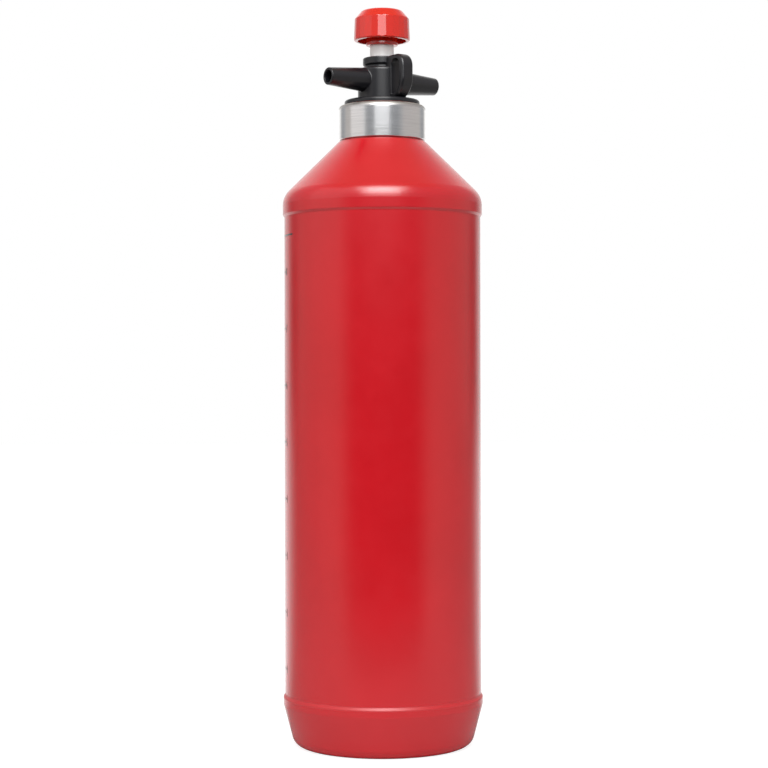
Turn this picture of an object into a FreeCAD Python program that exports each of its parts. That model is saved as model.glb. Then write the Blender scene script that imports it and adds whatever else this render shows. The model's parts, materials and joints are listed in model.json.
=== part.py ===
"""Camping fuel bottle: a blow-moulded bottle with a screw-in valve that a half turn unlocks and a push opens.

Millimetres. The origin is the middle of the base and +Z runs up the bottle. The nozzles lie along X,
with the pouring side towards -X, and the lanyard loop points to -Y.
"""

import FreeCAD, Part
import math
import os

from FreeCAD import Vector

# Bottle shell
BAND_RADIUS = 40.0
PANEL_INSET = 0.65
STEP_RISE = 1.0
STEP_ROUND = 0.4
WALL = 2.0
HEEL_RADIUS = 35.5
HEEL_ROUND = 5.0
HEEL_HEIGHT = 17.0
HEEL_BEND_ROUND = 3.0
BASE_BAND_HEIGHT = 2.8
PANEL_HEIGHT = 192.0
SHOULDER_BAND_HEIGHT = 7.15
SHOULDER_ROUND = 8.0
CONE_HEIGHT = 22.1
FOOT_WIDTH = 8.0
PUSH_UP_FLAT = 15.0
PUSH_UP_HEIGHT = 5.0
PUSH_UP_ROUND = 3.0

# Neck and its ring
RING_RADIUS = 17.5
RING_WALL = 2.0
RING_HEIGHT = 14.05
RING_TOP_ROUND = 1.9
RING_FOOT_ROUND = 0.3
RING_SEAT_RISE = 0.6
RING_SEAT_WIDTH = 1.0
NECK_WALL = 2.05
LIP_DEPTH = 0.7
LIP_ROUND = 0.4
FIT_GAP = 0.03

# Neck thread
THREAD_PITCH = 4.0
THREAD_DEPTH = 1.1
THREAD_ROOT_WIDTH = 1.9
THREAD_CREST_WIDTH = 0.9
THREAD_GAP = 0.3
THREAD_SINK = 0.2
NECK_THREAD_DROP = 2.5
NECK_THREAD_TURNS = 2.0
SPIGOT_THREAD_TURNS = 1.5

# Gasket and valve body
GASKET_THICKNESS = 1.0
GASKET_INSET = 0.57
FLANGE_INSET = 0.4
FLANGE_THICKNESS = 1.8
FLANGE_ROUND = 0.9
SPIGOT_LENGTH = 11.2
SPIGOT_ROUND = 0.5
TRUNK_RADIUS = 9.7
TRUNK_FOOT_ROUND = 0.6
TRUNK_HEIGHT = 12.9
TRUNK_ROUND = 1.4
GROOVE_HEIGHT = 1.1
GROOVE_ROUND = 0.4
COLLAR_WALL = 0.6
COLLAR_LIP = 0.65
COLLAR_HEIGHT = 3.05
COLLAR_ROUND = 0.6

# Nozzles and lanyard loop
NOZZLE_RISE = 7.8
NOZZLE_REACH = 26.1
NOZZLE_ROOT_RADIUS = 4.75
NOZZLE_TIP_RADIUS = 3.45
NOZZLE_TIP_ROUND = 0.4
NOZZLE_BORE_RADIUS = 2.5
NOZZLE_FILLET = 0.4
LOOP_REACH = 18.0
LOOP_THICKNESS = 5.5
LOOP_OUTER_BAR = 2.6
LOOP_INNER_BAR = 0.4
LOOP_TOP_BAR = 2.0
LOOP_FOOT_BAR = 1.5
LOOP_TOP_ROUND = 5.0
LOOP_FOOT_ROUND = 8.0
LOOP_FOOT_SINK = 0.5
LOOP_EDGE_ROUND = 1.1
EYE_TOP_ROUND = 2.3
EYE_ROUND_LIMIT = 0.87
EYE_EDGE_ROUND = 0.4

# Inside of the valve
SPIGOT_WALL = 2.0
UPPER_CHAMBER_RADIUS = 6.0
WEB_THICKNESS = 3.0
GUIDE_THICKNESS = 1.0
GUIDE_LAND = 0.3
PORT_COUNT = 6
PORT_RADIUS = 1.5
PORT_LAND = 0.5
O_RING_SECTION = 1.5
RUNNING_GAP = 0.06
BUSH_CHAMFER = 0.4

# Stem, seal and spring
STEM_RADIUS = 4.83
STEM_TOP_ROUND = 0.4
STEM_SHOULDER_DROP = 0.8
ROD_RADIUS = 2.4
ROD_END_RADIUS = 1.7
SEAL_OVERLAP = 1.2
SEAL_THICKNESS = 2.0
SEAL_ROUND = 0.3
DISC_INSET = 0.4
DISC_THICKNESS = 1.5
DISC_ROUND = 0.4
SCREW_RADIUS = 1.0
SCREW_LENGTH = 9.0
SCREW_TIP_ROOM = 0.5
SCREW_HEAD_RADIUS = 3.2
SCREW_HEAD_HEIGHT = 1.8
SCREW_HEAD_ROUND = 0.9
SCREW_HEX_SIDES = 6
SCREW_HEX_RADIUS = 1.4
SCREW_HEX_DEPTH = 1.0
SPRING_RADIUS = 3.6
SPRING_WIRE_RADIUS = 0.4
SPRING_TURNS = 7
SPRING_END_GAP = 0.05
SPRING_WASHER_RADIUS = 4.5
SPRING_WASHER_THICKNESS = 0.5

# Knob
KNOB_GAP = 5.0
KNOB_HUB_RADIUS = 6.4
KNOB_HUB_DROP = 1.95
KNOB_HUB_ROUND = 0.4
KNOB_FOOT_RADIUS = 11.3
KNOB_FOOT_ROUND = 0.7
KNOB_SIDE_RADIUS = 10.95
KNOB_SIDE_HEIGHT = 8.8
KNOB_EDGE_ROUND = 1.0
KNOB_TOP_RADIUS = 8.0
KNOB_TOP_RISE = 3.45
KNOB_TOP_ROUND = 2.0
KNOB_WALL = 1.5
KNOB_ROOF = 2.4
KNOB_RECESS_ROUND = 1.0
KNOB_FACETS = 24
KNOB_FACET_DEPTH = 0.07
KNOB_FACET_TURN = -5.0
SNAP_RISE = 4.6
SNAP_HEIGHT = 1.2
SNAP_DEPTH = 0.35

# Radii of pieces that fit into one another
PANEL_RADIUS = BAND_RADIUS - PANEL_INSET
PUSH_UP_RADIUS = HEEL_RADIUS - FOOT_WIDTH
RING_BORE_RADIUS = RING_RADIUS - RING_WALL
NECK_RADIUS = RING_BORE_RADIUS - FIT_GAP
FLANGE_RADIUS = RING_BORE_RADIUS - FLANGE_INSET
GASKET_RADIUS = NECK_RADIUS - GASKET_INSET
NECK_BORE_RADIUS = NECK_RADIUS - NECK_WALL
NECK_CREST_RADIUS = NECK_BORE_RADIUS - THREAD_DEPTH
SPIGOT_RADIUS = NECK_CREST_RADIUS - THREAD_GAP
SPIGOT_CREST_RADIUS = NECK_BORE_RADIUS - THREAD_GAP
LOWER_CHAMBER_RADIUS = SPIGOT_RADIUS - SPIGOT_WALL
PORT_CIRCLE = LOWER_CHAMBER_RADIUS - PORT_LAND - PORT_RADIUS
SEAL_RADIUS = PORT_CIRCLE + PORT_RADIUS + SEAL_OVERLAP
DISC_RADIUS = SEAL_RADIUS - DISC_INSET
GUIDE_RADIUS = STEM_RADIUS + RUNNING_GAP
GLAND_RADIUS = GUIDE_RADIUS + O_RING_SECTION + FIT_GAP
GROOVE_RADIUS = GLAND_RADIUS + COLLAR_WALL
COLLAR_RADIUS = GROOVE_RADIUS + COLLAR_LIP
SOCKET_RADIUS = STEM_RADIUS + FIT_GAP

# Heights from the base up
BASE_BAND_TOP_Z = HEEL_HEIGHT + BASE_BAND_HEIGHT
PANEL_TOP_Z = BASE_BAND_TOP_Z + PANEL_HEIGHT
SHOULDER_Z = PANEL_TOP_Z + STEP_RISE + SHOULDER_BAND_HEIGHT
NECK_FOOT_Z = SHOULDER_Z + CONE_HEIGHT
RING_SEAT_Z = NECK_FOOT_Z + RING_SEAT_RISE
RING_TOP_Z = RING_SEAT_Z + RING_HEIGHT
LIP_Z = RING_TOP_Z - LIP_DEPTH
NECK_THREAD_Z = LIP_Z - NECK_THREAD_DROP - NECK_THREAD_TURNS * THREAD_PITCH
SPIGOT_THREAD_Z = NECK_THREAD_Z + THREAD_PITCH / 2
FLANGE_Z = LIP_Z + GASKET_THICKNESS
FLANGE_TOP_Z = FLANGE_Z + FLANGE_THICKNESS
NOZZLE_Z = FLANGE_TOP_Z + NOZZLE_RISE
TRUNK_TOP_Z = FLANGE_TOP_Z + TRUNK_HEIGHT
COLLAR_Z = TRUNK_TOP_Z + GROOVE_HEIGHT
COLLAR_TOP_Z = COLLAR_Z + COLLAR_HEIGHT
GUIDE_Z = NOZZLE_Z + NOZZLE_BORE_RADIUS + GUIDE_LAND
O_RING_SEAT_Z = GUIDE_Z + GUIDE_THICKNESS
BUSH_Z = O_RING_SEAT_Z + O_RING_SECTION
HUB_Z = COLLAR_TOP_Z + KNOB_GAP
KNOB_FOOT_Z = HUB_Z + KNOB_HUB_DROP
KNOB_SIDE_TOP_Z = KNOB_FOOT_Z + KNOB_SIDE_HEIGHT
KNOB_TOP_Z = KNOB_SIDE_TOP_Z + KNOB_TOP_RISE
SOCKET_TOP_Z = KNOB_TOP_Z - KNOB_ROOF
SNAP_Z = HUB_Z + SNAP_RISE

# Heights from the flange down
WEB_Z = FLANGE_Z - SPIGOT_LENGTH
WEB_TOP_Z = WEB_Z + WEB_THICKNESS
STEM_SHOULDER_Z = GUIDE_Z - STEM_SHOULDER_DROP
SPRING_SEAT_Z = WEB_TOP_Z + SPRING_WASHER_THICKNESS
SEAL_Z = WEB_Z - SEAL_THICKNESS
DISC_Z = SEAL_Z - DISC_THICKNESS

Z_AXIS = Vector(0, 0, 1)
X_AXIS = Vector(1, 0, 0)
OVERRUN = 1.0


def corner_arc(start, corner, end):
    """Arc from start to end that touches the two equal lines which meet at the corner."""
    back = start - corner
    ahead = end - corner
    half = back.getAngle(ahead) / 2
    radius = back.Length * math.tan(half)
    bisector = back + ahead
    bisector.normalize()
    middle = corner + bisector * (radius / math.sin(half) - radius)
    return Part.Arc(start, middle, end).toShape()


def rounded_wire(corners):
    """Closed wire through (position, rounding) corners, with a tangent arc at each corner that has a rounding."""
    count = len(corners)
    edges = []
    ends = []
    for index, (corner, rounding) in enumerate(corners):
        back = corners[index - 1][0] - corner
        ahead = corners[(index + 1) % count][0] - corner
        back.normalize()
        ahead.normalize()
        half = back.getAngle(ahead) / 2
        reach = rounding / math.tan(half)
        start = corner + back * reach
        end = corner + ahead * reach
        ends.append((start, end))
        if rounding > 0:
            edges.append(corner_arc(start, corner, end))
    for index in range(count):
        start = ends[index][1]
        end = ends[(index + 1) % count][0]
        if not start.isEqual(end, Part.Precision.confusion()):
            edges.append(Part.makeLine(start, end))
    return Part.Wire(Part.sortEdges(edges)[0])


def turned(points):
    """Solid of revolution about Z from (radius, height, rounding) corners."""
    corners = [(Vector(radius, 0, height), rounding) for radius, height, rounding in points]
    return Part.Face(rounded_wire(corners)).revolve(Vector(), Z_AXIS, 360)


def rod(radius, bottom, top):
    """Cylinder about Z between two heights."""
    return Part.makeCylinder(radius, top - bottom, Vector(0, 0, bottom))


def washer(outer, inner, bottom, thickness, rounding=0):
    """Flat ring about Z with rounded outer edges."""
    top = bottom + thickness
    return turned([(inner, bottom, 0), (outer, bottom, rounding), (outer, top, rounding), (inner, top, 0)])


def polygon(count, apothem, height):
    """Regular polygon about Z at a height, with a flat facing X."""
    step = 2 * math.pi / count
    radius = apothem / math.cos(step / 2)
    corners = [
        Vector(radius * math.cos(step * (i + 0.5)), radius * math.sin(step * (i + 0.5)), height)
        for i in range(count)
    ]
    return Part.makePolygon(corners + corners[:1])


def thread_ridge(root_radius, crest_radius, first_z, turns):
    """Helical ridge of the neck thread, sunk a little into the wall that it stands on."""
    sunk_radius = root_radius - math.copysign(THREAD_SINK, crest_radius - root_radius)
    half_crest = THREAD_CREST_WIDTH / 2
    flank = (THREAD_ROOT_WIDTH / 2 - half_crest) / THREAD_DEPTH
    half_sunk = half_crest + flank * (THREAD_DEPTH + THREAD_SINK)
    corners = [
        Vector(sunk_radius, 0, -half_sunk),
        Vector(crest_radius, 0, -half_crest),
        Vector(crest_radius, 0, half_crest),
        Vector(sunk_radius, 0, half_sunk),
    ]
    profile = Part.makePolygon(corners + corners[:1])
    path = Part.Wire(Part.makeHelix(THREAD_PITCH, THREAD_PITCH * turns, root_radius))
    ridge = path.makePipeShell([profile], True, True)
    ridge.translate(Vector(0, 0, first_z))
    return ridge


def belly_corners():
    """Outer corners of the bottle from the middle of its base up to the bend of the shoulder."""
    return [
        (0, PUSH_UP_HEIGHT, 0),
        (PUSH_UP_FLAT, PUSH_UP_HEIGHT, PUSH_UP_ROUND),
        (PUSH_UP_RADIUS, 0, PUSH_UP_ROUND),
        (HEEL_RADIUS, 0, HEEL_ROUND),
        (BAND_RADIUS, HEEL_HEIGHT, HEEL_BEND_ROUND),
        (BAND_RADIUS, BASE_BAND_TOP_Z, STEP_ROUND),
        (PANEL_RADIUS, BASE_BAND_TOP_Z + STEP_RISE, STEP_ROUND),
        (PANEL_RADIUS, PANEL_TOP_Z, STEP_ROUND),
        (BAND_RADIUS, PANEL_TOP_Z + STEP_RISE, STEP_ROUND),
        (BAND_RADIUS, SHOULDER_Z, SHOULDER_ROUND),
    ]


def bottle_cavity():
    """Space inside the bottle: the belly shrunk by the wall, and the bore of the neck."""
    cone_tip_z = SHOULDER_Z + CONE_HEIGHT * BAND_RADIUS / (BAND_RADIUS - RING_RADIUS)
    right = [(Vector(radius, 0, height), rounding) for radius, height, rounding in belly_corners()[1:]]
    left = [(Vector(-corner.x, 0, corner.z), rounding) for corner, rounding in reversed(right)]
    tip = (Vector(0, 0, cone_tip_z), 0)
    inside = Part.Face(rounded_wire(right + [tip] + left)).makeOffset2D(-WALL)
    right_half = Part.Face(
        Part.makePolygon(
            [
                Vector(),
                Vector(BAND_RADIUS, 0, 0),
                Vector(BAND_RADIUS, 0, cone_tip_z),
                Vector(0, 0, cone_tip_z),
                Vector(),
            ]
        )
    )
    belly = inside.common(right_half).Faces[0].revolve(Vector(), Z_AXIS, 360)
    return belly.fuse(rod(NECK_BORE_RADIUS, SHOULDER_Z, LIP_Z + OVERRUN))


def make_bottle():
    seat_radius = RING_RADIUS - RING_SEAT_WIDTH
    outside = turned(
        belly_corners()
        + [
            (RING_RADIUS, NECK_FOOT_Z, 0),
            (seat_radius, NECK_FOOT_Z, 0),
            (seat_radius, RING_SEAT_Z, 0),
            (NECK_RADIUS, RING_SEAT_Z, 0),
            (NECK_RADIUS, LIP_Z, LIP_ROUND),
            (0, LIP_Z, 0),
        ]
    )
    ridge = thread_ridge(NECK_BORE_RADIUS, NECK_CREST_RADIUS, NECK_THREAD_Z, NECK_THREAD_TURNS)
    return outside.cut(bottle_cavity()).fuse(ridge)


def make_neck_ring():
    return turned(
        [
            (RING_BORE_RADIUS, RING_SEAT_Z, 0),
            (RING_RADIUS, RING_SEAT_Z, RING_FOOT_ROUND),
            (RING_RADIUS, RING_TOP_Z, RING_TOP_ROUND),
            (RING_BORE_RADIUS, RING_TOP_Z, 0),
        ]
    )


def make_neck_gasket():
    return washer(GASKET_RADIUS, SPIGOT_RADIUS + THREAD_GAP, LIP_Z, GASKET_THICKNESS)


def nozzle(side):
    """Tapered tube from the valve's axis out to its tip, on the side of X given by +1 or -1."""
    taper = (NOZZLE_ROOT_RADIUS - NOZZLE_TIP_RADIUS) / (NOZZLE_REACH - TRUNK_RADIUS)
    tip = side * NOZZLE_REACH
    corners = [
        (Vector(0, 0, NOZZLE_Z + NOZZLE_BORE_RADIUS), 0),
        (Vector(tip, 0, NOZZLE_Z + NOZZLE_BORE_RADIUS), NOZZLE_TIP_ROUND),
        (Vector(tip, 0, NOZZLE_Z + NOZZLE_TIP_RADIUS), NOZZLE_TIP_ROUND),
        (Vector(0, 0, NOZZLE_Z + NOZZLE_ROOT_RADIUS + taper * TRUNK_RADIUS), 0),
    ]
    return Part.Face(rounded_wire(corners)).revolve(Vector(0, 0, NOZZLE_Z), X_AXIS, 360)


def valve_outside():
    """Spigot, flange, trunk and collar turned in one, with the nozzles blended into the trunk."""
    core = turned(
        [
            (0, WEB_Z, 0),
            (SPIGOT_RADIUS, WEB_Z, SPIGOT_ROUND),
            (SPIGOT_RADIUS, FLANGE_Z, 0),
            (FLANGE_RADIUS, FLANGE_Z, 0),
            (FLANGE_RADIUS, FLANGE_TOP_Z, FLANGE_ROUND),
            (TRUNK_RADIUS, FLANGE_TOP_Z, TRUNK_FOOT_ROUND),
            (TRUNK_RADIUS, TRUNK_TOP_Z, TRUNK_ROUND),
            (GROOVE_RADIUS, TRUNK_TOP_Z, GROOVE_ROUND),
            (GROOVE_RADIUS, COLLAR_Z, GROOVE_ROUND),
            (COLLAR_RADIUS, COLLAR_Z, COLLAR_ROUND),
            (COLLAR_RADIUS, COLLAR_TOP_Z, COLLAR_ROUND),
            (0, COLLAR_TOP_Z, 0),
        ]
    )
    core.rotate(Vector(), Z_AXIS, 90)
    blank = core.fuse([nozzle(1), nozzle(-1)])
    joins = [edge for edge in blank.Edges if isinstance(edge.Curve, (Part.BSplineCurve, Part.Hyperbola))]
    return blank.makeFillet(NOZZLE_FILLET, joins)


def loop_plate(points):
    """Upright plate across X from (y, z, rounding) corners."""
    half = LOOP_THICKNESS / 2
    wire = rounded_wire([(Vector(-half, y, z), rounding) for y, z, rounding in points])
    return Part.Face(wire).extrude(X_AXIS * LOOP_THICKNESS)


def round_rims(plate, cutter, rounding):
    """Rounds those edges in the faces of an upright plate that a cutter leaves there."""
    reach = cutter.BoundBox
    reach.enlarge(Part.Precision.confusion())
    flat = [edge for edge in plate.Edges if edge.BoundBox.XLength < rounding]
    return plate.makeFillet(rounding, [edge for edge in flat if reach.isInside(edge.BoundBox)])


def lanyard_loop():
    """Plate with an eye and rounded edges, reaching from the trunk towards -Y."""
    foot_z = FLANGE_TOP_Z - LOOP_FOOT_SINK
    eye_near = -TRUNK_RADIUS - LOOP_INNER_BAR
    eye_far = LOOP_OUTER_BAR - LOOP_REACH
    eye_bottom = FLANGE_TOP_Z + LOOP_FOOT_BAR
    eye_top = COLLAR_TOP_Z - LOOP_TOP_BAR
    widest_round = EYE_ROUND_LIMIT * (eye_near - eye_far)
    top_round = min(EYE_TOP_ROUND, widest_round / 2)
    far_round = min(LOOP_FOOT_ROUND - LOOP_OUTER_BAR, widest_round)
    near_round = (eye_near - eye_far - far_round) / 2
    blank = loop_plate(
        [
            (-GUIDE_RADIUS, foot_z, 0),
            (-LOOP_REACH, foot_z, LOOP_FOOT_ROUND),
            (-LOOP_REACH, COLLAR_TOP_Z, LOOP_TOP_ROUND),
            (-GUIDE_RADIUS, COLLAR_TOP_Z, 0),
        ]
    )
    eye = loop_plate(
        [
            (eye_near, eye_bottom, near_round),
            (eye_far, eye_bottom, far_round),
            (eye_far, eye_top, top_round),
            (eye_near, eye_top, top_round),
        ]
    )
    return round_rims(round_rims(blank, blank, LOOP_EDGE_ROUND).cut(eye), eye, EYE_EDGE_ROUND)


def valve_hollows():
    """Chamber, guide, O-ring seat, ports and nozzle bores, as solids to cut away."""
    cone_drop = LOWER_CHAMBER_RADIUS - UPPER_CHAMBER_RADIUS
    chamber = turned(
        [
            (0, WEB_TOP_Z, 0),
            (LOWER_CHAMBER_RADIUS, WEB_TOP_Z, 0),
            (LOWER_CHAMBER_RADIUS, FLANGE_TOP_Z - cone_drop, 0),
            (UPPER_CHAMBER_RADIUS, FLANGE_TOP_Z, 0),
            (UPPER_CHAMBER_RADIUS, GUIDE_Z, 0),
            (0, GUIDE_Z, 0),
        ]
    )
    guide = rod(GUIDE_RADIUS, STEM_SHOULDER_Z, O_RING_SEAT_Z + OVERRUN)
    gland = rod(GLAND_RADIUS, O_RING_SEAT_Z, COLLAR_TOP_Z + OVERRUN)
    rod_hole = rod(ROD_RADIUS + RUNNING_GAP, WEB_Z - OVERRUN, WEB_TOP_Z + OVERRUN)
    bore = Part.makeCylinder(NOZZLE_BORE_RADIUS, 2 * NOZZLE_REACH, Vector(-NOZZLE_REACH, 0, NOZZLE_Z), X_AXIS)
    ports = []
    for index in range(PORT_COUNT):
        port = rod(PORT_RADIUS, WEB_Z - OVERRUN, WEB_TOP_Z + OVERRUN)
        port.translate(Vector(PORT_CIRCLE, 0, 0))
        port.rotate(Vector(), Z_AXIS, 360 / PORT_COUNT * index)
        ports.append(port)
    return [chamber, guide, gland, rod_hole, bore] + ports


def make_valve_body():
    ridge = thread_ridge(SPIGOT_RADIUS, SPIGOT_CREST_RADIUS, SPIGOT_THREAD_Z, SPIGOT_THREAD_TURNS)
    return valve_outside().fuse(lanyard_loop()).cut(valve_hollows()).fuse(ridge)


def make_gland_bush():
    outer = GLAND_RADIUS - FIT_GAP
    return turned(
        [
            (GUIDE_RADIUS, BUSH_Z, 0),
            (outer, BUSH_Z, 0),
            (outer, COLLAR_TOP_Z, 0),
            (GUIDE_RADIUS + BUSH_CHAMFER, COLLAR_TOP_Z, 0),
            (GUIDE_RADIUS, COLLAR_TOP_Z - BUSH_CHAMFER, 0),
        ]
    )


def make_stem_o_ring():
    section_radius = O_RING_SECTION / 2
    ring = Part.makeTorus(GUIDE_RADIUS + section_radius, section_radius)
    ring.translate(Vector(0, 0, O_RING_SEAT_Z + section_radius))
    return ring


def make_stem():
    groove_radius = STEM_RADIUS - SNAP_DEPTH
    turning = turned(
        [
            (0, DISC_Z + FIT_GAP, 0),
            (ROD_END_RADIUS, DISC_Z + FIT_GAP, 0),
            (ROD_END_RADIUS, WEB_Z, 0),
            (ROD_RADIUS, WEB_Z, 0),
            (ROD_RADIUS, STEM_SHOULDER_Z, 0),
            (STEM_RADIUS, STEM_SHOULDER_Z, STEM_TOP_ROUND),
            (STEM_RADIUS, SNAP_Z - FIT_GAP, 0),
            (groove_radius, SNAP_Z - FIT_GAP, 0),
            (groove_radius, SNAP_Z + SNAP_HEIGHT + FIT_GAP, 0),
            (STEM_RADIUS, SNAP_Z + SNAP_HEIGHT + FIT_GAP, 0),
            (STEM_RADIUS, SOCKET_TOP_Z, STEM_TOP_ROUND),
            (0, SOCKET_TOP_Z, 0),
        ]
    )
    return turning.cut(rod(SCREW_RADIUS + FIT_GAP, DISC_Z, DISC_Z + SCREW_LENGTH + SCREW_TIP_ROOM))


def make_valve_seal():
    return washer(SEAL_RADIUS, ROD_END_RADIUS + RUNNING_GAP, SEAL_Z, SEAL_THICKNESS, SEAL_ROUND)


def make_valve_disc():
    return washer(DISC_RADIUS, ROD_END_RADIUS + RUNNING_GAP, DISC_Z, DISC_THICKNESS, DISC_ROUND)


def make_seal_screw():
    head_z = DISC_Z - SCREW_HEAD_HEIGHT
    turning = turned(
        [
            (0, head_z, 0),
            (SCREW_HEAD_RADIUS, head_z, SCREW_HEAD_ROUND),
            (SCREW_HEAD_RADIUS, DISC_Z, 0),
            (SCREW_RADIUS, DISC_Z, 0),
            (SCREW_RADIUS, DISC_Z + SCREW_LENGTH, 0),
            (0, DISC_Z + SCREW_LENGTH, 0),
        ]
    )
    hexagon = Part.Face(polygon(SCREW_HEX_SIDES, SCREW_HEX_RADIUS, head_z))
    return turning.cut(hexagon.extrude(Z_AXIS * SCREW_HEX_DEPTH))


def coil_point(radius, pitch, angle):
    """Place and direction of a coil about Z at an angle, from X at height 0."""
    climb = pitch / (2 * math.pi)
    place = Vector(radius * math.cos(angle), radius * math.sin(angle), climb * angle)
    direction = Vector(-radius * math.sin(angle), radius * math.cos(angle), climb)
    direction.normalize()
    return place, direction


def coil_path(radius, pitch, turns):
    """Coil about Z as pairs of tangent arcs, one pair to each half turn."""
    arcs = []
    for index in range(2 * turns):
        start, leaving = coil_point(radius, pitch, math.pi * index)
        end, arriving = coil_point(radius, pitch, math.pi * (index + 1))
        chord = end - start
        square = 2 * (1 - leaving.dot(arriving))
        linear = 2 * chord.dot(leaving + arriving)
        reach = (math.sqrt(linear * linear + 4 * square * chord.dot(chord)) - linear) / (2 * square)
        first_corner = start + leaving * reach
        second_corner = end - arriving * reach
        meeting = (first_corner + second_corner) * 0.5
        arcs.append(corner_arc(start, first_corner, meeting))
        arcs.append(corner_arc(meeting, second_corner, end))
    return Part.Wire(arcs)


def make_return_spring():
    """Coil round the rod, from the washer on the web up to the shoulder of the stem."""
    first_z = SPRING_SEAT_Z + SPRING_WIRE_RADIUS + SPRING_END_GAP
    rise = STEM_SHOULDER_Z - SPRING_WIRE_RADIUS - SPRING_END_GAP - first_z
    pitch = rise / SPRING_TURNS
    start, direction = coil_point(SPRING_RADIUS, pitch, 0)
    wire = Part.Wire(Part.makeCircle(SPRING_WIRE_RADIUS, start, direction))
    spring = coil_path(SPRING_RADIUS, pitch, SPRING_TURNS).makePipeShell([wire], True, False)
    spring.translate(Vector(0, 0, first_z))
    return spring


def make_spring_washer():
    return washer(SPRING_WASHER_RADIUS, ROD_RADIUS + RUNNING_GAP, WEB_TOP_Z, SPRING_WASHER_THICKNESS)


def make_knob():
    turning = turned(
        [
            (0, KNOB_FOOT_Z, 0),
            (KNOB_FOOT_RADIUS, KNOB_FOOT_Z, KNOB_FOOT_ROUND),
            (KNOB_SIDE_RADIUS, KNOB_SIDE_TOP_Z, KNOB_EDGE_ROUND),
            (KNOB_TOP_RADIUS, KNOB_TOP_Z, KNOB_TOP_ROUND),
            (0, KNOB_TOP_Z, 0),
        ]
    )
    draft = (KNOB_FOOT_RADIUS - KNOB_SIDE_RADIUS) / KNOB_SIDE_HEIGHT
    facet_foot = KNOB_FOOT_RADIUS - KNOB_FACET_DEPTH
    facet_top = facet_foot - draft * (KNOB_TOP_Z - KNOB_FOOT_Z)
    facets = Part.makeLoft(
        [polygon(KNOB_FACETS, facet_foot, KNOB_FOOT_Z), polygon(KNOB_FACETS, facet_top, KNOB_TOP_Z)], True, True
    )
    facets.rotate(Vector(), Z_AXIS, KNOB_FACET_TURN)
    recess_top = KNOB_SIDE_TOP_Z - KNOB_EDGE_ROUND
    recess = turned(
        [
            (KNOB_HUB_RADIUS, KNOB_FOOT_Z - OVERRUN, 0),
            (KNOB_FOOT_RADIUS - KNOB_WALL, KNOB_FOOT_Z - OVERRUN, 0),
            (KNOB_FOOT_RADIUS - KNOB_WALL, KNOB_FOOT_Z, 0),
            (KNOB_SIDE_RADIUS - KNOB_WALL, recess_top, KNOB_RECESS_ROUND),
            (KNOB_HUB_RADIUS, recess_top, KNOB_RECESS_ROUND),
        ]
    )
    hub = turned(
        [
            (0, HUB_Z, 0),
            (KNOB_HUB_RADIUS, HUB_Z, KNOB_HUB_ROUND),
            (KNOB_HUB_RADIUS, recess_top, 0),
            (0, recess_top, 0),
        ]
    )
    bead = washer(KNOB_HUB_RADIUS, SOCKET_RADIUS - SNAP_DEPTH, SNAP_Z, SNAP_HEIGHT)
    socket = rod(SOCKET_RADIUS, HUB_Z - OVERRUN, SOCKET_TOP_Z).cut(bead)
    return turning.common(facets).cut(recess).fuse(hub).cut(socket)


PIECES = {
    "bottle": make_bottle,
    "neck_ring": make_neck_ring,
    "neck_gasket": make_neck_gasket,
    "valve_body": make_valve_body,
    "gland_bush": make_gland_bush,
    "stem_o_ring": make_stem_o_ring,
    "spring_washer": make_spring_washer,
    "return_spring": make_return_spring,
    "stem": make_stem,
    "valve_seal": make_valve_seal,
    "valve_disc": make_valve_disc,
    "seal_screw": make_seal_screw,
    "knob": make_knob,
}

os.makedirs("parts", exist_ok=True)
for name, make in PIECES.items():
    shape = make()
    shape.exportStep(f"parts/{name}.step")
    box = shape.BoundBox
    print(
        f"{name}: {len(shape.Solids)} solid, valid {shape.isValid()}, {shape.Volume / 1000:.2f} cm3, "
        f"z {box.ZMin:.2f} to {box.ZMax:.2f}"
    )
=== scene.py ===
"""Camping fuel bottle: the finish of each piece, a printed level scale, soft studio light and the camera.

Metres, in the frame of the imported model: the origin is the middle of the base and +Z runs up the bottle.
"""

import json
import math

import bmesh
import bpy
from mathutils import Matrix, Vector


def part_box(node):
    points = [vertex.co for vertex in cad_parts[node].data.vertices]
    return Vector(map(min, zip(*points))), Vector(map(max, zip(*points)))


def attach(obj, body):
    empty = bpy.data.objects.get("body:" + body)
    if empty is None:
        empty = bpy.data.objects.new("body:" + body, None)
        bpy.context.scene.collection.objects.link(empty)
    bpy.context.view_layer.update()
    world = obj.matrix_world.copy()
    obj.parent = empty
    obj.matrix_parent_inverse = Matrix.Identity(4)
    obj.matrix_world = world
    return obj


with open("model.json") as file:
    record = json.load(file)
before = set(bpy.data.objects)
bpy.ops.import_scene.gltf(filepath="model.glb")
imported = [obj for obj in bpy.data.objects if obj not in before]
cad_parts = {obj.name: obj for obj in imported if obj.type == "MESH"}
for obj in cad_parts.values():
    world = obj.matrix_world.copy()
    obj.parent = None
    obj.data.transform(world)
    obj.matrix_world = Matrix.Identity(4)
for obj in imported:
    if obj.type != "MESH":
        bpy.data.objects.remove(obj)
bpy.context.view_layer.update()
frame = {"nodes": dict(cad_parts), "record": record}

# Camera
VIEW_AZIMUTH = math.radians(-35)
VIEW_ROLL = math.radians(0.12)
CAMERA_DISTANCE = 0.801
CAMERA_HEIGHT = 0.1449
CAMERA_OFFSET = 0.00055
FOCAL_LENGTH = 93.3

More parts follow.
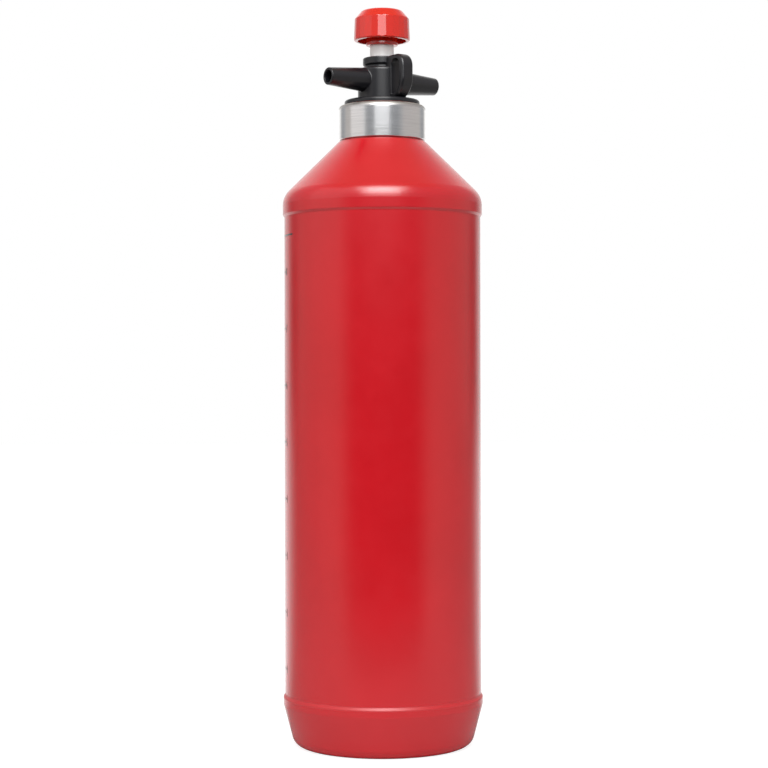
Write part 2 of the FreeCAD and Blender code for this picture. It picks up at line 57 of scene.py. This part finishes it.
# Plastics and rubbers, with two shades that drift into each other and a fine grain
PLASTICS = {
    "red_polyethylene": {
        "dark": (0.5, 0.003, 0.0085),
        "light": (0.54, 0.004, 0.0105),
        "roughness": 0.24,
        "grain": 0.0005,
        "depth": 0.000004,
        "level": 0.92,
        "scuffed": 0.2,
    },
    "red_knob": {
        "dark": (0.59, 0.013, 0.004),
        "light": (0.63, 0.016, 0.006),
        "roughness": 0.12,
        "grain": 0.003,
        "depth": 0.000006,
        "level": 0.85,
    },
    "red_rubber": {
        "dark": (0.38, 0.02, 0.018),
        "light": (0.42, 0.025, 0.02),
        "roughness": 0.55,
        "grain": 0.0004,
        "depth": 0.00001,
    },
    "black_plastic": {
        "dark": (0.0075, 0.0075, 0.01),
        "light": (0.0095, 0.0095, 0.012),
        "roughness": 0.32,
        "grain": 0.0004,
        "depth": 0.000004,
        "level": 0.62,
    },
    "black_rubber": {
        "dark": (0.016, 0.016, 0.016),
        "light": (0.022, 0.021, 0.021),
        "roughness": 0.6,
        "grain": 0.0003,
        "depth": 0.00001,
    },
    "white_plastic": {
        "dark": (0.9, 0.885, 0.87),
        "light": (0.94, 0.925, 0.91),
        "roughness": 0.3,
        "grain": 0.0006,
        "depth": 0.000005,
    },
}
SCALE_INK = {
    "dark": (0.014, 0.013, 0.013),
    "light": (0.02, 0.019, 0.018),
    "roughness": 0.24,
    "grain": 0.0005,
    "depth": 0.000004,
    "level": 0.92,
}
DRIFT_SIZE = 0.03
DRIFT_DARK = 0.3
DRIFT_LIGHT = 0.7
GLOSS_SIZE = 0.0075
GLOSS_DRIFT = 0.03

# Upper edge of the base band, scuffed matt
SCUFF_Z = 0.0203
SCUFF_REACH = 0.0009

# Turned aluminium of the neck ring, and its rounded rim that is rougher than the side, with its colour
# darkened as painted shade under the flange that also dims its highlight
TURNING_STRETCH = (0.02, 0.02, 1)
TURNING_SIZE = 0.0003
TURNING_DEPTH = 0.000004
ALUMINIUM_SHADES = [(0.25, (0.8, 0.8, 0.805)), (0.75, (0.95, 0.95, 0.95))]
ALUMINIUM_ROUGHNESS = (0.17, 0.25)
RIM_START = 0.0022
RIM_FULL = 0.0007
RIM_ROUGHER = 0.35
RIM_PAINTED_SHADE = (0.48, 0.45, 0.42, 1)

# Drawn and stamped steel
STEEL_GRAIN = 0.0004
STEEL_DEPTH = 0.000003
STEEL_SHADES = [(0.3, (0.52, 0.52, 0.53)), (0.7, (0.62, 0.62, 0.63))]
STEEL_ROUGHNESS = (0.24, 0.34)

# Level scale printed on the panel
PANEL_INSET = 0.00065
INK_LIFT = 0.00002
INK_THICKNESS = 0.00004
INK_SEGMENT = 0.0008
WELD_DISTANCE = 0.000002
SCALE_ANGLE = math.radians(150)
LEVEL_COUNT = 8
LEVEL_STEP = 0.0226
FIRST_LEVEL_Z = 0.0315
FILL_LIMIT_Z = 0.2041
TICK_LENGTH = 0.0048
TICK_WIDTH = 0.0006
LIMIT_LENGTH = 0.0145
NUMBER_HEIGHT = 0.0030
NUMBER_GAP = 0.0006
DIGIT_SHARE = 0.7

# Room, with the colour of its walls by the angle in degrees from its front
STUDIO_AZIMUTH = VIEW_AZIMUTH + math.radians(3)
WALLS = [
    (0, (0.02, 0.0225, 0.025)),
    (37, (0.02, 0.0225, 0.025)),
    (55, (0.47, 0.44, 0.40)),
    (115, (0.49, 0.46, 0.42)),
    (125, (0.13, 0.12, 0.115)),
    (135, (0.13, 0.12, 0.115)),
    (149, (0.95, 0.94, 0.92)),
    (180, (1.3, 1.3, 1.3)),
]
UPPER_FRONT = (0.42, 0.43, 0.45, 1)
UPPER_START = math.radians(5.2)
UPPER_FULL = math.radians(7.4)
CEILING = (0.38, 0.33, 0.26, 1)
CEILING_START = math.radians(48)
CEILING_FULL = math.radians(62)
BACKDROP = (1, 1, 1, 1)

# Floor
FLOOR_FRONT = 0.3
FLOOR_REACH = 4.0
FLOOR_COLOUR = (0.85, 0.85, 0.85, 1)
FLOOR_SHADOW_SHARE = (0.3, 0.3, 0.3, 1)
FLOOR_GLOW = 0.87
FRONT_MIRRORED_GLOW = 0.12
BACK_MIRRORED_GLOW = 1.2
BACK_START = math.radians(122)
BACK_FULL = math.radians(155)
# Painted contact shadow: the floor's mirrored glow fades out between these distances from the bottle's axis
CONTACT_SHADE_INNER = 0.034
CONTACT_SHADE_OUTER = 0.047

# Lamps, by their angles in degrees round from the camera and above the horizon
AIM_HEIGHT = 0.2
LIGHTS = {
    "key_softbox": dict(turn=0, rise=47, distance=1.3, width=1.0, height=0.95, radiance=3.65),
    "key_core": dict(turn=0, rise=47, distance=1.29, width=0.66, height=0.5, radiance=5.1),
    "front_strip": dict(turn=0, rise=25.6, distance=0.554, width=0.36, height=0.17, radiance=3.0),
    "left_fill": dict(turn=-68, rise=30, distance=1.5, width=1.3, height=1.3, radiance=0.35),
}


def node(tree, kind, inputs=None, **settings):
    """Adds a node, sets its properties, and fills or links its inputs."""
    made = tree.nodes.new(kind)
    for key, value in settings.items():
        setattr(made, key, value)
    for key, value in (inputs or {}).items():
        if isinstance(value, bpy.types.NodeSocket):
            tree.links.new(value, made.inputs[key])
        else:
            made.inputs[key].default_value = value
    return made


def math_node(tree, operation, first, second=0.0):
    """Output of a math node."""
    return node(tree, "ShaderNodeMath", {0: first, 1: second}, operation=operation).outputs[0]


def vector_node(tree, operation, first, second=(0, 0, 0), output="Vector"):
    """Output of a vector math node."""
    made = node(tree, "ShaderNodeVectorMath", {0: first, 1: second}, operation=operation)
    return made.outputs[output]


def coordinate(tree, vector, axis):
    """One coordinate of a vector."""
    return node(tree, "ShaderNodeSeparateXYZ", {0: vector}).outputs[axis]


def span(tree, value, start, full, low=0.0, high=1.0):
    """A value that goes from low to high while another goes from start to full."""
    inputs = {"Value": value, "From Min": start, "From Max": full, "To Min": low, "To Max": high}
    return node(tree, "ShaderNodeMapRange", inputs).outputs["Result"]


def mix(tree, factor, first, second, blend="MIX"):
    """Colour that goes from the first to the second with a factor."""
    inputs = {"Factor": factor, "A": first, "B": second}
    return node(tree, "ShaderNodeMix", inputs, data_type="RGBA", blend_type=blend).outputs["Result"]


def ramp(tree, factor, stops):
    """Colour of a ramp at a factor, from (position, colour) stops."""
    made = node(tree, "ShaderNodeValToRGB", {"Fac": factor})
    elements = made.color_ramp.elements
    while len(elements) < len(stops):
        elements.new(1.0)
    for element, (position, colour) in zip(elements, stops):
        element.position = position
        element.color = (*colour, 1)
    return made.outputs["Color"]


def place(tree, stretch=(1, 1, 1)):
    """Position on the piece in the row frame, stretched along each axis."""
    where = node(tree, "ShaderNodeTexCoord").outputs["Object"]
    return vector_node(tree, "MULTIPLY", where, stretch)


def noise(tree, where, size, detail=2.0):
    """Noise from 0 to 1 whose patches are about the given size."""
    inputs = {"Vector": where, "Scale": 1 / size, "Detail": detail}
    return node(tree, "ShaderNodeTexNoise", inputs).outputs["Fac"]


def shader(name, **sockets):
    """New material with its shader's constant sockets set by name, as (material, tree, shader)."""
    made = bpy.data.materials.new(name)
    made.use_nodes = True
    surface = made.node_tree.nodes["Principled BSDF"]
    for key, value in sockets.items():
        surface.inputs[key.replace("_", " ")].default_value = value
    return made, made.node_tree, surface


def relief(tree, surface, height, depth):
    """Bumps a shader's normal by a height from 0 to 1 times a depth in metres."""
    bump = node(tree, "ShaderNodeBump", {"Height": height, "Distance": depth, "Strength": 1.0})
    tree.links.new(bump.outputs["Normal"], surface.inputs["Normal"])


def moulded(name, dark, light, roughness, grain, depth, level=0.5, scuffed=0.0):
    """Moulded plastic: a faint drift of colour and gloss, a fine grain, and rougher at a scuffed edge."""
    made, tree, surface = shader(name, Specular_IOR_Level=level)
    where = place(tree)
    drift = noise(tree, where, DRIFT_SIZE, detail=3.0)
    colour = ramp(tree, drift, [(DRIFT_DARK, dark), (DRIFT_LIGHT, light)])
    tree.links.new(colour, surface.inputs["Base Color"])
    patches = noise(tree, where, GLOSS_SIZE)
    gloss = span(tree, patches, 0, 1, roughness - GLOSS_DRIFT, roughness + GLOSS_DRIFT)
    if scuffed:
        height = coordinate(tree, where, "Z")
        edge = node(tree, "ShaderNodeMath", {0: height, 1: SCUFF_Z, 2: SCUFF_REACH}, operation="COMPARE")
        gloss = math_node(tree, "ADD", gloss, math_node(tree, "MULTIPLY", edge.outputs[0], scuffed))
    tree.links.new(gloss, surface.inputs["Roughness"])
    relief(tree, surface, noise(tree, where, grain, detail=1.0), depth)
    return made


def neck_aluminium():
    """Turned aluminium: fine rings round the neck and a sheen that spreads along its height."""
    made, tree, surface = shader("neck_aluminium", Metallic=1.0, Anisotropic=0.2, Anisotropic_Rotation=0.25)
    tangent = node(tree, "ShaderNodeTangent", direction_type="RADIAL", axis="Z")
    tree.links.new(tangent.outputs["Tangent"], surface.inputs["Tangent"])
    rings = noise(tree, place(tree, TURNING_STRETCH), TURNING_SIZE, detail=3.0)
    ring_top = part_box("neck_ring")[1].z
    height = coordinate(tree, place(tree), "Z")
    rim = span(tree, height, ring_top - RIM_START, ring_top - RIM_FULL)
    # Rim colour darkened towards the top: painted shade under the flange
    colour = mix(tree, rim, ramp(tree, rings, ALUMINIUM_SHADES), RIM_PAINTED_SHADE)
    tree.links.new(colour, surface.inputs["Base Color"])
    side_roughness = span(tree, rings, 0, 1, *ALUMINIUM_ROUGHNESS)
    rim_roughness = math_node(tree, "MULTIPLY", rim, RIM_ROUGHER)
    roughness = math_node(tree, "ADD", side_roughness, rim_roughness)
    tree.links.new(roughness, surface.inputs["Roughness"])
    relief(tree, surface, rings, TURNING_DEPTH)
    return made


def spring_steel():
    """Drawn and stamped bright steel."""
    made, tree, surface = shader("spring_steel", Metallic=1.0)
    streaks = noise(tree, place(tree), STEEL_GRAIN, detail=3.0)
    tree.links.new(ramp(tree, streaks, STEEL_SHADES), surface.inputs["Base Color"])
    tree.links.new(span(tree, streaks, 0, 1, *STEEL_ROUGHNESS), surface.inputs["Roughness"])
    relief(tree, surface, streaks, STEEL_DEPTH)
    return made


def dress_nodes():
    """Gives each node of the frame the finish of its material slot."""
    finishes = {name: moulded(name, **values) for name, values in PLASTICS.items()}
    finishes["neck_aluminium"] = neck_aluminium()
    finishes["spring_steel"] = spring_steel()
    for part in frame["record"]["subparts"]:
        for slot in frame["nodes"][part["node"]].material_slots:
            slot.material = finishes[part["material_slot"]]


def link(name, data):
    """New object of a mesh, curve, lamp or camera, in the scene."""
    made = bpy.data.objects.new(name, data)
    bpy.context.scene.collection.objects.link(made)
    return made


def flat_bar(left, bottom, width, height):
    """Flat mesh of a bar in the plane of the scale, cut across so that it can follow the panel."""
    pieces = math.ceil(width / INK_SEGMENT)
    shape = bmesh.new()
    rails = [
        [shape.verts.new((left + width * i / pieces, level, 0)) for i in range(pieces + 1)]
        for level in (bottom, bottom + height)
    ]
    for i in range(pieces):
        shape.faces.new((rails[0][i], rails[0][i + 1], rails[1][i + 1], rails[1][i]))
    return shape


def flat_number(text, left, bottom, height):
    """Flat mesh of a number in the plane of the scale."""
    curve = bpy.data.curves.new("number", "FONT")
    curve.body = text
    curve.size = height / DIGIT_SHARE
    writing = link("number", curve)
    bpy.context.view_layer.update()
    evaluated = writing.evaluated_get(bpy.context.evaluated_depsgraph_get())
    mesh = bpy.data.meshes.new_from_object(evaluated)
    bpy.data.objects.remove(writing)
    shape = bmesh.new()
    shape.from_mesh(mesh)
    bmesh.ops.translate(shape, vec=(left, bottom, 0), verts=shape.verts)
    return shape


def printed(name, shapes, material):
    """Joins flat meshes into one thin layer of ink wrapped on the panel."""
    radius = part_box("bottle")[1].x - PANEL_INSET + INK_LIFT
    mesh = bpy.data.meshes.new(name)
    whole = bmesh.new()
    for shape in shapes:
        shape.to_mesh(mesh)
        whole.from_mesh(mesh)
        shape.free()
    bmesh.ops.remove_doubles(whole, verts=whole.verts, dist=WELD_DISTANCE)
    bmesh.ops.recalc_face_normals(whole, faces=whole.faces)
    top = bmesh.ops.extrude_face_region(whole, geom=whole.faces[:])["geom"]
    raised = [item for item in top if isinstance(item, bmesh.types.BMVert)]
    bmesh.ops.translate(whole, vec=(0, 0, INK_THICKNESS), verts=raised)
    for vert in whole.verts:
        angle = SCALE_ANGLE + vert.co.x / radius
        reach = radius + vert.co.z
        vert.co = (reach * math.cos(angle), reach * math.sin(angle), vert.co.y)
    bmesh.ops.recalc_face_normals(whole, faces=whole.faces)
    whole.to_mesh(mesh)
    whole.free()
    layer = link(name, mesh)
    mesh.materials.append(material)
    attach(layer, "bottle")


def level_scale():
    """Tick and number at each tenth of a litre, and a long line at the filling limit."""
    ink = moulded("scale_ink", **SCALE_INK)
    ticks = [flat_bar(0, FILL_LIMIT_Z - TICK_WIDTH / 2, LIMIT_LENGTH, TICK_WIDTH)]
    numbers = []
    for level in range(LEVEL_COUNT):
        height = FIRST_LEVEL_Z + level * LEVEL_STEP
        ticks.append(flat_bar(0, height - TICK_WIDTH / 2, TICK_LENGTH, TICK_WIDTH))
        bottom = height - NUMBER_HEIGHT / 2
        numbers.append(flat_number(str(level + 1), TICK_LENGTH + NUMBER_GAP, bottom, NUMBER_HEIGHT))
    printed("level_ticks", ticks, ink)
    printed("level_numbers", numbers, ink)


def outward(azimuth, elevation=0.0):
    """Unit vector from the bottle's axis at an angle round it and an angle above the horizon."""
    level = Vector((math.sin(azimuth), -math.cos(azimuth), 0))
    return level * math.cos(elevation) + Vector((0, 0, math.sin(elevation)))


def studio_world():
    """Room with a dark front, warm sides, a white back and a pale ceiling, which shows as plain white."""
    world = bpy.data.worlds.new("studio")
    world.use_nodes = True
    bpy.context.scene.world = world
    tree = world.node_tree
    direction = node(tree, "ShaderNodeTexCoord").outputs["Generated"]
    level = vector_node(tree, "NORMALIZE", vector_node(tree, "MULTIPLY", direction, (1, 1, 0)))
    facing = vector_node(tree, "DOT_PRODUCT", level, outward(STUDIO_AZIMUTH), "Value")
    turn = math_node(tree, "DIVIDE", math_node(tree, "ARCCOSINE", facing), math.pi)
    walls = ramp(tree, turn, [(degrees / 180, colour) for degrees, colour in WALLS])
    height = coordinate(tree, direction, "Z")
    upper = span(tree, height, math.sin(UPPER_START), math.sin(UPPER_FULL))
    overhead = span(tree, height, math.sin(CEILING_START), math.sin(CEILING_FULL))
    room = mix(tree, overhead, mix(tree, upper, walls, UPPER_FRONT, "LIGHTEN"), CEILING)
    direct = node(tree, "ShaderNodeLightPath").outputs["Is Camera Ray"]
    tree.links.new(mix(tree, direct, room, BACKDROP), tree.nodes["Background"].inputs["Color"])


def floor_finish():
    """White that glows where it is seen, and where it is mirrored more behind the bottle than in front."""
    made = bpy.data.materials.new("floor")
    made.use_nodes = True
    tree = made.node_tree
    tree.nodes.remove(tree.nodes["Principled BSDF"])
    path = node(tree, "ShaderNodeLightPath").outputs
    direct = path["Is Camera Ray"]
    mirrored = math_node(tree, "MAXIMUM", path["Is Glossy Ray"], path["Is Transmission Ray"])
    seen = math_node(tree, "MAXIMUM", direct, mirrored)
    matt = node(tree, "ShaderNodeBsdfDiffuse", {"Color": mix(tree, seen, FLOOR_COLOUR, FLOOR_SHADOW_SHARE)})
    where = place(tree)
    backward = coordinate(tree, vector_node(tree, "NORMALIZE", where), "Y")
    back_edges = (-math.cos(BACK_START), -math.cos(BACK_FULL))
    behind = span(tree, backward, *back_edges, FRONT_MIRRORED_GLOW, BACK_MIRRORED_GLOW)
    reach = vector_node(tree, "LENGTH", where, output="Value")
    # Painted contact shadow in the mirrored glow round the bottle's foot
    clear = span(tree, reach, CONTACT_SHADE_INNER, CONTACT_SHADE_OUTER)
    mirrored_glow = math_node(tree, "MULTIPLY", math_node(tree, "MULTIPLY", mirrored, behind), clear)
    direct_glow = math_node(tree, "MULTIPLY", direct, FLOOR_GLOW)
    strength = math_node(tree, "ADD", direct_glow, mirrored_glow)
    glow = node(tree, "ShaderNodeEmission", {"Strength": strength})
    both = node(tree, "ShaderNodeAddShader", {0: matt.outputs[0], 1: glow.outputs[0]})
    tree.links.new(both.outputs[0], tree.nodes["Material Output"].inputs["Surface"])
    return made


def studio_floor():
    """Floor that shows as white and keeps a soft shadow."""
    mesh = bpy.data.meshes.new("floor")
    corners = [
        (-FLOOR_REACH, -FLOOR_FRONT, 0),
        (FLOOR_REACH, -FLOOR_FRONT, 0),
        (FLOOR_REACH, FLOOR_REACH, 0),
        (-FLOOR_REACH, FLOOR_REACH, 0),
    ]
    mesh.from_pydata(corners, [], [range(len(corners))])
    mesh.materials.append(floor_finish())
    floor = link("floor", mesh)
    floor.rotation_euler.z = STUDIO_AZIMUTH


def softbox(name, turn, rise, distance, width, height, radiance):
    """Rectangular lamp aimed at the bottle."""
    aim = outward(VIEW_AZIMUTH + math.radians(turn), math.radians(rise))
    light = bpy.data.lights.new(name, "AREA")
    light.shape = "RECTANGLE"
    light.size = width
    light.size_y = height
    light.energy = radiance * math.pi * width * height
    lamp = link(name, light)
    lamp.location = Vector((0, 0, AIM_HEIGHT)) + aim * distance
    lamp.rotation_euler = aim.to_track_quat("Z", "Y").to_euler()
    lamp.visible_camera = False


def level_camera():
    """Camera that looks level at the bottle, from between its pouring nozzle and its lanyard loop."""
    data = bpy.data.cameras.new("camera")
    data.lens = FOCAL_LENGTH
    camera = link("camera", data)
    to_camera = outward(VIEW_AZIMUTH)
    rightward = Vector((-to_camera.y, to_camera.x, 0))
    height = Vector((0, 0, CAMERA_HEIGHT))
    camera.location = to_camera * CAMERA_DISTANCE + rightward * CAMERA_OFFSET + height
    camera.rotation_euler = (math.pi / 2, VIEW_ROLL, VIEW_AZIMUTH)
    bpy.context.scene.camera = camera


dress_nodes()
level_scale()
studio_world()
studio_floor()
for name, values in LIGHTS.items():
    softbox(name, **values)
level_camera()
bpy.context.scene.view_settings.view_transform = "Standard"
